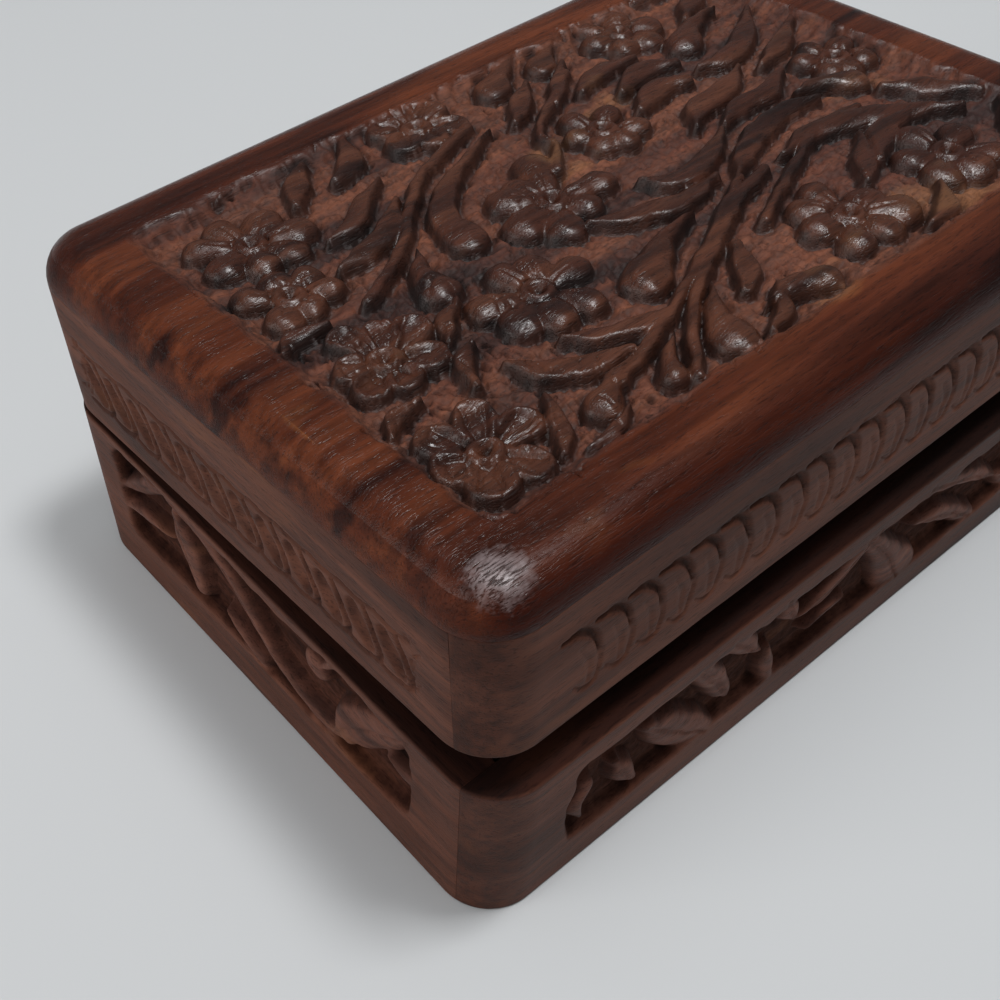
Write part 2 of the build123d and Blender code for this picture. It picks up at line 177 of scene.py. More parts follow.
class Carving:
    """Heights over a board's face in millimetres: 0 is the uncut face, and carving is below."""

    def __init__(self, columns, rows, seed, wobble=0.22):
        self.columns, self.rows, self.seed = columns, rows, seed
        self.across, self.up = np.meshgrid(columns, rows)
        self.x = self.across + wobble * patches(self.across, self.up, 2.6, seed)
        self.y = self.up + wobble * patches(self.across, self.up, 2.6, seed + 1)
        self.ground = np.zeros_like(self.across)
        self.raised = np.full_like(self.across, -9.0)
        self.cuts = np.zeros_like(self.across)
        self.scores = np.zeros_like(self.across)

    def sink(self, left, right, foot, head, corner, depth, slope, wave=0.5):
        """Lowers the ground inside a rounded rectangle, down a slope from its edge."""
        edge_wave = wave * patches(self.across, self.up, 6.0, self.seed + 2)
        edge_wave = edge_wave + 0.5 * wave * patches(self.across, self.up, 2.2, self.seed + 5)
        x = np.abs(self.across - (left + right) / 2) - (right - left) / 2 + corner
        y = np.abs(self.up - (foot + head) / 2) - (head - foot) / 2 + corner
        past = np.hypot(np.maximum(x, 0), np.maximum(y, 0)) + np.minimum(np.maximum(x, y), 0)
        inside = ease((corner - past + edge_wave) / slope)
        self.ground = np.minimum(self.ground, -depth * inside)

    def near(self, points, widths, margin=1.8):
        """The window round a line: each place's share of its width, side, gap and way along."""
        route, halves = smooth_route(points, widths)
        reach = halves.max() + margin
        first = np.searchsorted(self.columns, route[:, 0].min() - reach)
        last = np.searchsorted(self.columns, route[:, 0].max() + reach)
        low = np.searchsorted(self.rows, route[:, 1].min() - reach)
        high = np.searchsorted(self.rows, route[:, 1].max() + reach)
        window = (slice(low, high), slice(first, last))
        x, y = self.x[window], self.y[window]
        share, side, gap = np.full_like(x, 99.0), np.zeros_like(x), np.full_like(x, 99.0)
        along = np.zeros_like(x)
        for k, (a, b, wide_a, wide_b) in enumerate(zip(route[:-1], route[1:], halves[:-1], halves[1:])):
            run = b - a
            length = np.hypot(*run)
            t = np.clip(((x - a[0]) * run[0] + (y - a[1]) * run[1]) / length**2, 0, 1)
            off_x, off_y = x - a[0] - t * run[0], y - a[1] - t * run[1]
            distance = np.hypot(off_x, off_y)
            half = np.maximum(wide_a + (wide_b - wide_a) * t, 0.15)
            closer = distance / half < share
            share = np.where(closer, distance / half, share)
            side = np.where(closer, (run[0] * off_y - run[1] * off_x) / length / half, side)
            gap = np.minimum(gap, distance - half)
            along = np.where(closer, (k + t) / (len(route) - 1), along)
        return window, share, np.clip(side, -1, 1), gap, along

    def stand(self, points, widths, crest=-0.15, edge=-0.75, lean=0.0, scoop=0.0, full=0.5, fall=0.0):
        """Leaves a form standing with steep walls: domed, hollowed, leaning, low at its start."""
        window, share, side, gap, along = self.near(points, widths)
        dome = np.clip(1 - share**2, 0, 1) ** full
        hollow = scoop * np.clip(1 - (share / 0.82) ** 2, 0, 1)
        rest = edge + lean * side - fall * (1 - along) ** 2
        top = np.where(share < 1, rest + (crest - edge) * dome - hollow, rest - wall_slope * gap)
        self.raised[window] = np.maximum(self.raised[window], top)
        beside = np.exp(-((np.maximum(gap, 0) / stop_cut_width) ** 2)) * (share >= 1)
        sunk = ease(-self.ground[window] / 0.8)
        self.cuts[window] = np.maximum(self.cuts[window], stop_cut_depth * beside * sunk)

    def groove(self, points, widths, depth, in_ground=False):
        """Cuts a rounded groove along a line, into the forms too or in the ground alone."""
        window, share, *_ = self.near(points, widths)
        cut = depth * np.clip(1 - share**2, 0, 1)
        cuts = self.cuts if in_ground else self.scores
        cuts[window] = np.maximum(cuts[window], cut)

    def nick(self, count, area, angle, depth, seed, in_ground=False):
        """Short gouge cuts at random places of an area, within 35 degrees of one direction."""
        chance = np.random.default_rng(seed)
        left, right, foot, head = area
        for _ in range(count):
            x, y = chance.uniform(left, right), chance.uniform(foot, head)
            turn = math.radians(angle + chance.uniform(-35, 35))
            run = np.array((math.cos(turn), math.sin(turn))) * chance.uniform(0.6, 1.6)
            wide = chance.uniform(0.25, 0.55)
            cut_depth = depth * chance.uniform(0.4, 1)
            self.groove([(x, y) - run, (x, y) + run], (wide * 0.6, wide * 0.6), cut_depth, in_ground)

    def heights(self, rough, blunt=1):
        """The finished heights, with the tool marks of the ground and of the forms."""
        gouged = 0.5 - np.abs(patches(self.x, self.y, 1.5, self.seed + 3)) * 2
        grains = patches(self.across, self.up, 0.7, self.seed + 4)
        worked = ease(-self.ground / 0.6)
        ground = self.ground - self.cuts + rough * (gouged + 0.5 * grains) * worked
        facets = patches(self.x, self.y, 1.6, self.seed + 6) * 0.08 + grains * 0.03
        standing = self.raised + facets
        self.on_ground = soften(worked * (ground > standing), 2)
        self.on_crown = soften(worked * (ground <= standing), 2)
        heights = np.maximum(ground, standing) - self.scores * (1 + 0.05 * gouged)
        return (heights + soften(heights, blunt)) / 2


def tones(carving, heights, painted_sunk_shade=0.0):
    """What the finish follows: hollows and steep walls, where it paints shade, cut ground and crowns left
    standing.
    """
    deepest, least_slope, slope_range = 1.2, 0.95, 1.3
    rise_up, rise_across = np.gradient(heights, carving.rows, carving.columns)
    hollow = np.clip(soften(heights, 24) - heights, 0, deepest) / deepest
    return {
        "hollow": np.maximum(hollow, soften(painted_sunk_shade * carving.on_ground, 3)),
        "wall": soften(ease((np.hypot(rise_up, rise_across) - least_slope) / slope_range), 2),
        "ground": carving.on_ground,
        "crown": carving.on_crown,
    }


def spread(low, high, fine, coarse, near):
    """Places from low to high, fine near one place and coarser away from it."""
    places = [low]
    while places[-1] < high:
        away = abs(places[-1] - near) / (high - low)
        places.append(places[-1] + fine + (coarse - fine) * min(away, 1.0))
    places = np.array(places)
    return low + (places - low) * (high - low) / (places[-1] - low)


def with_arris(low, high, fine, coarse, near):
    """As spread, with closer places by both ends, where the arrises are eased."""
    inner = spread(low + arris, high - arris, fine, coarse, near)
    steps = arris * np.array((0.0, 0.12, 0.4))
    return np.concatenate((low + steps, inner, high - steps[::-1]))


def eased_arris(rows, low, high):
    """How much a rounded arris takes off the face near its lower and upper edge."""
    from_edge = np.minimum(rows - low, high - rows)
    inward = np.clip(arris - from_edge, 0, arris)
    return arris - np.sqrt(np.maximum(arris**2 - inward**2, 0))


def carved_sheet(name, points, finish):
    """A grid primitive with its points set, and each place's tones for the finish."""
    rows, columns = points.shape[:2]
    bpy.ops.mesh.primitive_grid_add(
        x_subdivisions=columns - 1, y_subdivisions=rows - 1, size=1, location=(0, 0, 0)
    )
    sheet = bpy.context.object
    sheet.name = name
    flat = np.zeros(len(sheet.data.vertices) * 3, np.float32)
    sheet.data.vertices.foreach_get("co", flat)
    flat = flat.reshape(-1, 3)
    column = np.rint((flat[:, 0] + 0.5) * (columns - 1)).astype(int)
    row = np.rint((flat[:, 1] + 0.5) * (rows - 1)).astype(int)
    placed = points[row, column].astype(np.float32) * mm
    sheet.data.vertices.foreach_set("co", placed.ravel())
    for label, values in finish.items():
        attribute = sheet.data.attributes.new(label, "FLOAT", "POINT")
        attribute.data.foreach_set("value", values[row, column].astype(np.float32))
    sheet.data.update()
    return sheet


def select_open_edge():
    """Goes into edit mode with the open edge of the active sheet selected."""
    bpy.ops.object.mode_set(mode="EDIT")
    bpy.ops.mesh.select_mode(type="VERT")
    bpy.ops.mesh.select_all(action="DESELECT")
    bpy.ops.mesh.select_non_manifold()


def fill_open_edge():
    """Fills the selected edge, points all faces outwards and leaves edit mode."""
    bpy.ops.mesh.edge_face_add()
    bpy.ops.mesh.select_all(action="SELECT")
    bpy.ops.mesh.normals_make_consistent(inside=False)
    bpy.ops.object.mode_set(mode="OBJECT")


def close_to_plane(axis, level):
    """Extrudes the active sheet's open edge back to a flat inner face, and fills that."""
    select_open_edge()
    bpy.ops.mesh.extrude_region_move()
    flatten = [1, 1, 1]
    flatten[axis] = 0
    centre = [0, 0, 0]
    centre[axis] = level * mm
    bpy.ops.transform.resize(value=flatten, center_override=centre)
    fill_open_edge()


face_turns = {
    "front": ((1, 0), (0, -1)),
    "back": ((-1, 0), (0, 1)),
    "left": ((0, -1), (-1, 0)),
    "right": ((0, 1), (1, 0)),
}


def board_points(side, columns, rows, heights, length, middle, face, wedge=None):
    """Where each place of a board's carved face lies, round the corner's curve too."""
    along_way, out_way = face_turns[side]
    straight = length / 2 - corner_radius
    turned = np.maximum(np.abs(columns) - straight, 0) / corner_radius
    way = np.sign(columns)
    along = way * np.minimum(np.abs(columns), straight) + way * corner_radius * np.sin(turned)
    depth = corner_radius * (1 - np.cos(turned))
    a = along + way * np.sin(turned) * heights
    out = np.cos(turned) * heights - depth
    if wedge is not None:
        out = np.minimum(out, -wedge[:, None])
    x = middle[0] + along_way[0] * a + out_way[0] * (out + face)
    y = middle[1] + along_way[1] * a + out_way[1] * (out + face)
    z = np.broadcast_to(rows[:, None], heights.shape)
    return np.stack((x, y, z), axis=-1)


def finish_solid(piece, material, body, node):
    """Smooth shading with the hard arrises kept, the finish, the body and the node."""
    bpy.ops.object.select_all(action="DESELECT")
    piece.select_set(True)
    bpy.context.view_layer.objects.active = piece
    bpy.ops.object.shade_smooth_by_angle(angle=math.radians(75))
    piece.data.materials.clear()
    piece.data.materials.append(material)
    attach(piece, body)
    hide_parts(node)
    piece.select_set(False)


def cut_away(piece, cutter):
    """Takes the cutter's solid off the piece."""
    bpy.context.view_layer.objects.active = piece
    difference = piece.modifiers.new("cut", "BOOLEAN")
    difference.operation = "DIFFERENCE"
    difference.solver = "MANIFOLD"
    difference.object = cutter
    bpy.ops.object.modifier_apply(modifier=difference.name)


def feed(tree, socket, value):
    """Links the socket to another one, or sets it to a plain number or colour."""
    if isinstance(value, bpy.types.NodeSocket):
        tree.links.new(value, socket)
    elif socket.type == "RGBA":
        socket.default_value = (*value, 1)
    else:
        socket.default_value = value


def add_node(tree, kind, **values):
    """A node of that kind, laid out in rows, with its settings and what its sockets take."""
    node = tree.nodes.new(kind)
    row, column = divmod(len(tree.nodes), 8)
    node.location = (220 * column, -260 * row)
    for key, value in values.items():
        if key in node.inputs:
            feed(tree, node.inputs[key], value)
        else:
            setattr(node, key, value)
    return node


def maths(tree, operation, *terms):
    """The result of a sum, where each term is a socket or a number."""
    node = add_node(tree, "ShaderNodeMath", operation=operation)
    for socket, term in zip(node.inputs, terms):
        feed(tree, socket, term)
    return node.outputs[0]


def share_between(tree, value, start, stop, most=1.0, interpolation="LINEAR"):
    """Rises from 0 at the start to the most at the stop, and is level outside them."""
    node = add_node(tree, "ShaderNodeMapRange", interpolation_type=interpolation, Value=value)
    for label, number in (("From Min", start), ("From Max", stop), ("To Max", most)):
        node.inputs[label].default_value = number
    return node.outputs["Result"]


def tone_of(tree, label):
    """One of the tones that a carved piece holds for its finish."""
    return add_node(tree, "ShaderNodeAttribute", attribute_name=label).outputs["Fac"]


def blend_colours(tree, factor, first, second, mode="MULTIPLY"):
    """A colour mix. Each of the three is a socket or a plain value."""
    mix = add_node(tree, "ShaderNodeMix", data_type="RGBA", blend_type=mode, clamp_factor=True)
    for index, value in ((0, factor), (6, first), (7, second)):
        feed(tree, mix.inputs[index], value)
    return mix.outputs[2]


def ramp(tree, source, *stops):
    """A colour ramp over a 0 to 1 value. Each stop has its place and its colour or grey."""
    node = add_node(tree, "ShaderNodeValToRGB", Fac=source)
    elements = node.color_ramp.elements
    while len(elements) < len(stops):
        elements.new(0.5)
    for element, (place, colour) in zip(elements, stops):
        element.position = place
        element.color = (*colour, 1) if isinstance(colour, tuple) else (colour, colour, colour, 1)
    return node.outputs["Color"]


def noise_of(tree, where, scale, detail, seed, roughness=0.55, turn=0.0):
    """Noise, where the scale is its count per metre along each axis, after a turn."""
    mapping = add_node(
        tree, "ShaderNodeMapping", Vector=where, Scale=scale, Rotation=(0, 0, turn),
        Location=(seed * 1.7, seed * 2.9, seed * 0.6),
    )
    noise = add_node(
        tree, "ShaderNodeTexNoise", Vector=mapping.outputs["Vector"],
        Scale=1.0, Detail=detail, Roughness=roughness,
    )
    return noise.outputs["Fac"]


def darker_ends(tree, where, colour):
    """Darkens the end grain, which shows round the two upright corners of a long board."""
    start, stop = 0.0665, 0.0725
    parts = add_node(tree, "ShaderNodeSeparateXYZ", Vector=where)
    from_middle = maths(tree, "ABSOLUTE", parts.outputs["X"])
    at_end = share_between(tree, from_middle, start, stop)
    return blend_colours(tree, at_end, colour, (0.66, 0.62, 0.6))


def dark_heart_and_front_shade(tree, where, hearts, blotches, colour):
    """Adds dark lines of heartwood, and a wavy dark band along the front edge: darker grain there, and
    painted shade of the front rounding.
    """
    heart_tone = ramp(tree, hearts, (0.36, (0.3, 0.24, 0.26)), (0.47, 1))
    colour = blend_colours(tree, 1.0, colour, heart_tone)
    wave = ramp(tree, blotches, (0.2, 0), (0.8, 1))
    wavy = add_node(tree, "ShaderNodeMix", data_type="VECTOR")
    for index, value in ((0, 0.004), (4, where), (5, wave)):
        feed(tree, wavy.inputs[index], value)
    parts = add_node(tree, "ShaderNodeSeparateXYZ", Vector=wavy.outputs[1])
    # The band along the front edge: darker grain, and painted shade of the front rounding.
    by_front, past_corner = (
        share_between(tree, parts.outputs[axis], start, stop, interpolation="SMOOTHSTEP")
        for axis, start, stop in (("Y", -0.0405, -0.0462), ("X", -0.082, -0.066))
    )
    in_front_shade_band = maths(tree, "MULTIPLY", by_front, past_corner)
    return blend_colours(tree, in_front_shade_band, colour, (0.48, 0.35, 0.34))


def paint_corner_highlight(tree, where, scars, pores, place, colour):
    """Paints a pale patch round a place: a painted highlight, on wood worn pale there, with a ragged edge
    and its pores still dark.
    """
    edge_start, edge_stop, ragged, strength = 0.0066, 0.0036, 0.004, 0.8
    away = add_node(tree, "ShaderNodeVectorMath", operation="DISTANCE")
    for index, value in ((0, where), (1, place)):
        feed(tree, away.inputs[index], value)
    distance = maths(tree, "MULTIPLY_ADD", scars, ragged, away.outputs["Value"])
    highlight_share = share_between(tree, distance, edge_start, edge_stop, strength)
    highlight_tones = ramp(tree, pores, (0.4, (0.035, 0.02, 0.018)), (0.56, (0.28, 0.225, 0.225)))
    return blend_colours(tree, highlight_share, colour, highlight_tones, "MIX")


def hardwood(
    name, grain_along_y, shades, patch_colour, patch_share, seed, gloss, pore_depth, turn=0.0,
    ground_tone=(1, 1, 1), crown_tone=(1, 1, 1), shine=0.3, painted_hollow_shade=(0.3, 0.26, 0.25),
    heartwood_and_front_shade=False, highlight_place=None, end_grain=False,
):
    """Dark hardwood with bands, streaks and pores, its own tones where it is carved, and painted shade in
    its hollows and steep walls.
    """
    material, tree, shader = new_material(name)
    shader.inputs["Specular IOR Level"].default_value = shine
    where = add_node(tree, "ShaderNodeTexCoord").outputs["Object"]

    def along_grain(along, across, detail, shift, roughness=0.55):
        scale = (across, along, across) if grain_along_y else (along, across, across)
        return noise_of(tree, where, scale, detail, seed + shift, roughness, math.radians(-turn))

    bands = along_grain(9, 75, 3, 0)
    streaks = along_grain(38, 620, 4, 1, 0.6)
    blotches = along_grain(32, 85, 3, 2)
    pores = along_grain(420, 3400, 2, 3)
    fibres = along_grain(260, 5200, 3, 4)
    scars = noise_of(tree, where, (900, 900, 900), 2, seed + 7)
    ground, crown, wall, hollow, warm = (
        tone_of(tree, label) for label in ("ground", "crown", "wall", "hollow", "warm")
    )

    dark, mid, pale = shades
    colour = ramp(tree, bands, (0.3, dark), (0.47, mid), (0.56, pale), (0.68, mid))
    streak_tone = ramp(tree, streaks, (0.3, (0.42, 0.4, 0.4)), (0.62, (1.18, 1.15, 1.1)))
    colour = blend_colours(tree, 0.85, colour, streak_tone)
    warmer = maths(tree, "MULTIPLY_ADD", warm, 0.2, blotches)
    patch = ramp(tree, warmer, (patch_share, 0), (patch_share + 0.1, 1))
    patch = maths(tree, "MULTIPLY", patch, 0.75)
    colour = blend_colours(tree, patch, colour, patch_colour, "MIX")
    pore_tone = ramp(tree, pores, (0.33, (0.3, 0.27, 0.27)), (0.43, 1))
    colour = blend_colours(tree, 0.6, colour, pore_tone)
    if end_grain:
        colour = darker_ends(tree, where, colour)
    # Dark heartwood lines, and a band along the front edge that is partly painted shade.
    if heartwood_and_front_shade:
        colour = dark_heart_and_front_shade(tree, where, along_grain(13, 120, 3, 6), blotches, colour)
    scar_tone = ramp(tree, scars, (0.33, (0.76, 0.74, 0.74)), (0.62, 1.16))
    colour = blend_colours(tree, ground, colour, scar_tone)
    # A pale patch at the near corner: a painted highlight, on wood worn pale there.
    if highlight_place is not None:
        colour = paint_corner_highlight(tree, where, scars, pores, highlight_place, colour)
    colour = blend_colours(tree, ground, colour, ground_tone)
    colour = blend_colours(tree, crown, colour, crown_tone)
    # Steep walls darkened: painted shade.
    colour = blend_colours(tree, wall, colour, (0.26, 0.2, 0.19))
    # Darker in hollows and over sunk ground: painted shade.
    painted_hollow_tone = ramp(tree, hollow, (0.15, 1), (0.75, painted_hollow_shade))
    colour = blend_colours(tree, 1.0, colour, painted_hollow_tone)
    tree.links.new(colour, shader.inputs["Base Color"])

    roughness = ramp(tree, streaks, (0.2, gloss - 0.07), (0.8, gloss + 0.1))
    for tone, duller in ((crown, 0.02), (ground, 0.5), (wall, 0.3)):
        roughness = maths(tree, "ADD", roughness, ramp(tree, tone, (0, 0), (1, duller)))
    tree.links.new(roughness, shader.inputs["Roughness"])
    relief = maths(tree, "ADD", ramp(tree, pores, (0.3, 0), (0.5, 1)), fibres)
    bump = add_node(
        tree, "ShaderNodeBump", Strength=0.6, Distance=pore_depth * mm, Height=relief
    )
    tree.links.new(bump.outputs["Normal"], shader.inputs["Normal"])
    return material


side_shades = ((0.05, 0.018, 0.011), (0.105, 0.038, 0.023), (0.14, 0.054, 0.034))
side_wood_x, side_wood_y = (
    hardwood(
        name, along_y, side_shades, (0.17, 0.062, 0.03), 0.62, seed, 0.56, 0.05,
        crown_tone=(1.3, 1.4, 1.55), shine=0.13, painted_hollow_shade=painted_hollow_shade, end_grain=not along_y,
    )
    # The long boards' hollows get a greyer, cooler painted shade than the short boards', as the front
    # lies in shade.
    for name, along_y, seed, painted_hollow_shade in (
        ("side_wood_long", False, 3, (0.33, 0.38, 0.43)),
        ("side_wood_short", True, 8, (0.27, 0.23, 0.24)),
    )
)

panel_depth, panel_corner, panel_slope, panel_wave = 2.5, 3.0, 1.7, 0.7


def stand_leaves(carving, mirrored, length, ends, levels, forms):
    """Sinks a side's panel round its leaves, whose places count from one end of the side."""
    turn = -1 if mirrored else 1
    left, right = sorted(turn * (x - length / 2) for x in ends)
    carving.sink(left, right, *levels, panel_corner, panel_depth, panel_slope, panel_wave)
    for points, widths in forms:
        route = [(turn * (x - length / 2), z) for x, z in points]
        carving.stand(route, widths, crest=-0.05, edge=-1.15, lean=0.3 * turn, full=0.6)
        if max(widths) > 1.7:
            carving.groove(route, np.linspace(0.55, 0.3, len(route)), 0.5)


long_panel_ends, long_panel_levels = (15.6, 134.4), (8.2, 28.6)
long_leaves = (
    (((19.5, 20.6), (17.6, 17), (18.8, 12.6)), (1.6, 1.5, 0.6)),
    (((25.8, 20.2), (27.8, 15.6), (30.4, 11.2)), (0.7, 2.1, 0.9)),
    (((32.2, 23.4), (36.8, 18.2), (42, 12.6), (47.4, 7.6)), (1.4, 3.5, 3.7, 2.4)),
    (((41.4, 29), (46.6, 22), (49, 17.4), (51.2, 13)), (2.0, 2.4, 2.1, 0.6)),
    (((49, 29.6), (53, 25), (57.2, 19.8)), (2.6, 2.2, 0.6)),
    (((59.6, 18.8), (60.8, 14), (62.4, 8)), (0.7, 1.7, 1.7)),
    (((61, 29.4), (62.8, 25.2), (65.2, 21.4)), (1.3, 2.1, 0.7)),
    (((66.8, 20.6), (73.4, 22.4), (79, 26), (83.6, 29.6)), (0.8, 2.7, 3.0, 2.2)),
    (((70.5, 14.2), (74.4, 16.2), (79.4, 15.6)), (0.5, 1.1, 0.5)),
    (((80.4, 29), (86, 22.8), (91.4, 15.8), (96.6, 7.6)), (1.8, 2.2, 3.4, 5.4)),
    (((96.6, 29.6), (104.6, 25.6), (112.6, 21.6), (121.6, 15.6)), (2.6, 2.1, 1.9, 0.6)),
    (((97, 20.4), (104, 17.8), (111.6, 12.8), (117.6, 8)), (0.9, 2.1, 1.9, 1.8)),
    (((118.2, 29), (124.2, 24.6), (130.4, 18)), (2.4, 2.4, 0.7)),
    (((122.8, 14.8), (127, 11.8), (131.6, 7.6)), (0.7, 2.2, 1.8)),
)


# Half the long face, measured round its corner to just short of the joint
long_half = 78.6
long_columns = spread(-long_half, long_half, 0.33, 0.46, -66)
base_rows = with_arris(0.0, base_height, 0.32, 0.36, 20)
# The sloped back arris: how deep it is at the rim, and how far down the face it reaches
stop_rim_depth, stop_reach = 1.677, 2.35


def carved_board(name, side, carving, heights, length, middle, face, wedge=None, painted_sunk_shade=0.0):
    """A board with its carved outer face, closed by a flat one a wall's thickness behind."""
    rows, out_way = carving.rows, face_turns[side][1]
    points = board_points(side, carving.columns, rows, heights, length, middle, face, wedge)
    board = carved_sheet(name, points, tones(carving, heights, painted_sunk_shade))
    axis = 0 if out_way[0] else 1
    close_to_plane(axis, middle[axis] + (face - wall) * out_way[axis])
    return board


def base_board(side, columns, seed, length, face, panel_ends, panel_levels, leaves, wedge=None):
    """A board of the base with its leaves, its eased arrises and the rebate for the panel."""
    ground_roughness, blunting, painted_sunk_shade = 0.16, 4, 0.55
    carving = Carving(columns, base_rows, seed)
    stand_leaves(carving, side in ("back", "right"), length, panel_ends, panel_levels, leaves)
    heights = carving.heights(ground_roughness, blunting)
    heights -= eased_arris(base_rows, 0.0, base_height)[:, None]
    name = f"carved_base_{side}_board"
    board = carved_board(name, side, carving, heights, length, (0, 0), face, wedge, painted_sunk_shade)
    cut_away(board, rebate_cutter)
    return board


rebate_inset, rebate_height = 3.3, 3.2
bpy.ops.mesh.primitive_cube_add(size=1, location=(0, 0, 0))
rebate_cutter = bpy.context.object
rebate_size = (
    (box_length - 2 * rebate_inset) * mm,
    (box_width - 2 * rebate_inset) * mm,
    2 * rebate_height * mm,
)
bpy.ops.object.mode_set(mode="EDIT")
bpy.ops.mesh.select_all(action="SELECT")
bpy.ops.transform.resize(value=rebate_size, center_override=(0, 0, 0))
bpy.ops.mesh.select_mode(type="EDGE")
bpy.ops.mesh.select_all(action="DESELECT")
bpy.ops.object.mode_set(mode="OBJECT")
for edge in rebate_cutter.data.edges:
    low, high = (rebate_cutter.data.vertices[i].co for i in edge.vertices)
    edge.select = abs(low.z - high.z) > rebate_height * mm
bpy.ops.object.mode_set(mode="EDIT")
bpy.ops.mesh.bevel(offset=(corner_radius - rebate_inset) * mm, segments=12)
bpy.ops.object.mode_set(mode="OBJECT")

hinge_y, hinge_z = 52.4, 33.65
hinge_x = 48.0
rim_offset = 0.15


def cut_hinge_seats(piece, line_y, line_z, into):
    """Mortises for both hinge plates, grooves for their barrels, and their screws' holes."""
    plate_reach, plate_thickness, hinge_length = 4.85, 0.7, 20.1
    groove_radius, groove_length = 1.5, 21.2
    screw_setback, screw_reach, hole_radius, hole_depth = 3.125, 6.0, 0.72, 6.02
    spare = 0.5
    seats = []

    def spot(x, back, depth):
        middle = line_z + into * (rim_offset + (depth - spare) / 2)
        return (x * mm, (line_y - back) * mm, middle * mm)

    for x in (-hinge_x, hinge_x):
        bpy.ops.mesh.primitive_cube_add(size=1, location=spot(x, plate_reach / 2, plate_thickness))
        bpy.ops.object.mode_set(mode="EDIT")
        bpy.ops.transform.resize(
            value=(hinge_length * mm, plate_reach * mm, (plate_thickness + spare) * mm)
        )
        bpy.ops.object.mode_set(mode="OBJECT")
        seats.append(bpy.context.object)
        bpy.ops.mesh.primitive_cylinder_add(
            vertices=32, radius=groove_radius * mm, depth=groove_length * mm,
            location=(x * mm, line_y * mm, line_z * mm), rotation=(0, math.radians(90), 0),
        )
        seats.append(bpy.context.object)
        for screw_x in (x - screw_reach, x + screw_reach):
            bpy.ops.mesh.primitive_cylinder_add(
                vertices=20, radius=hole_radius * mm, depth=(hole_depth + spare) * mm,
                location=spot(screw_x, screw_setback, hole_depth),
            )
            seats.append(bpy.context.object)
    for seat in seats:
        cut_away(piece, seat)
        bpy.data.objects.remove(seat)


for side, seed in (("front", 11), ("back", 21)):
    wedge = None
    if side == "back":
        wedge = stop_rim_depth * (1 - (base_height - base_rows) / stop_reach)
    board = base_board(
        side, long_columns, seed, box_length, box_width / 2, long_panel_ends,
        long_panel_levels, long_leaves, wedge,
    )
    if side == "back":
        cut_hinge_seats(board, hinge_y, hinge_z, -1)
    finish_solid(board, side_wood_x, "base", f"base_{side}_board")

# Left and right boards of the base: the same wood with its grain front to back, glued
# between the long boards, and carved in the same way.
short_half = box_width / 2 - wall
short_columns = spread(-short_half, short_half, 0.33, 0.42, 30)
short_panel_ends, short_panel_levels = (14.4, 91.4), (10.4, 31.4)
short_leaves = (
    (((15.2, 22.2), (21, 26.2), (27.4, 31)), (1.0, 1.8, 1.9)),
    (((15, 17), (22, 19), (29.4, 20.6)), (1.1, 1.3, 0.5)),
    (((31.8, 28.4), (33.5, 22), (35.6, 14.2)), (1.6, 3.6, 2.4)),
    (((25, 32), (38, 30.4), (46, 27), (52, 21.6), (57.4, 16.4), (63.4, 13.2), (70, 12.4), (76, 14.4)),
     (1.2, 2.0, 2.3, 2.1, 1.8, 1.6, 1.4, 1.2)),
    (((73.2, 13.2), (77.4, 19.4), (82.6, 24.8), (91, 31.8)), (1.2, 4.3, 3.8, 1.2)),
    (((68.4, 26.2), (68.8, 25.9)), (2.8, 2.8)),
    (((70.2, 28), (74, 31.4)), (0.6, 1.0)),
    (((86.2, 22.4), (89.6, 21.4), (93, 22.6)), (0.7, 1.7, 1.7)),
    (((44, 15.4), (48.2, 13), (53.6, 11)), (0.6, 1.3, 1.2)),
)

for side, seed in (("left", 31), ("right", 41)):
    board = base_board(
        side, short_columns, seed, box_width, box_length / 2, short_panel_ends,
        short_panel_levels, short_leaves,
    )
    finish_solid(board, side_wood_y, "base", f"base_{side}_board")
bpy.data.objects.remove(rebate_cutter)

# Bottom panel: a thin plain board of the same wood, sanded but not carved, that sits in the
# rebate. It stays as it is, and only gets its finish.
plain_shades = ((0.10, 0.05, 0.03), (0.19, 0.105, 0.062), (0.25, 0.15, 0.09))
panel_wood = hardwood("panel_wood", False, plain_shades, (0.24, 0.14, 0.08), 0.66, 14, 0.6, 0.03)
bottom_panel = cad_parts["base_bottom_panel"]
bottom_panel.data.materials.clear()
bottom_panel.data.materials.append(panel_wood)

# Front and back rails of the lid: the same wood as the base, as thick, with a narrow band
# of gouge cuts. The lid stands 4 degrees open, so all of it is made level and then tilted.
rest_tilt = math.radians(4.0)
lid_length = 151.4
lid_front, lid_back = -104.9, 1.6
lid_middle = (lid_front + lid_back) / 2
lid_width = lid_back - lid_front
rim_level, rail_top = 0.15, 23.65
lid_place = Matrix.Translation((0, hinge_y * mm, hinge_z * mm)) @ Matrix.Rotation(-rest_tilt, 4, "X")
band_border = 13.5


def tilt_lid_piece(piece):
    """Takes a piece of the lid from its level making place to where it stands ajar."""
    piece.data.transform(lid_place)


lid_long_half = 78.3
lid_columns = spread(-lid_long_half, lid_long_half, 0.30, 0.44, -60)
lid_rows = with_arris(rim_level, rail_top, 0.29, 0.3, 10)


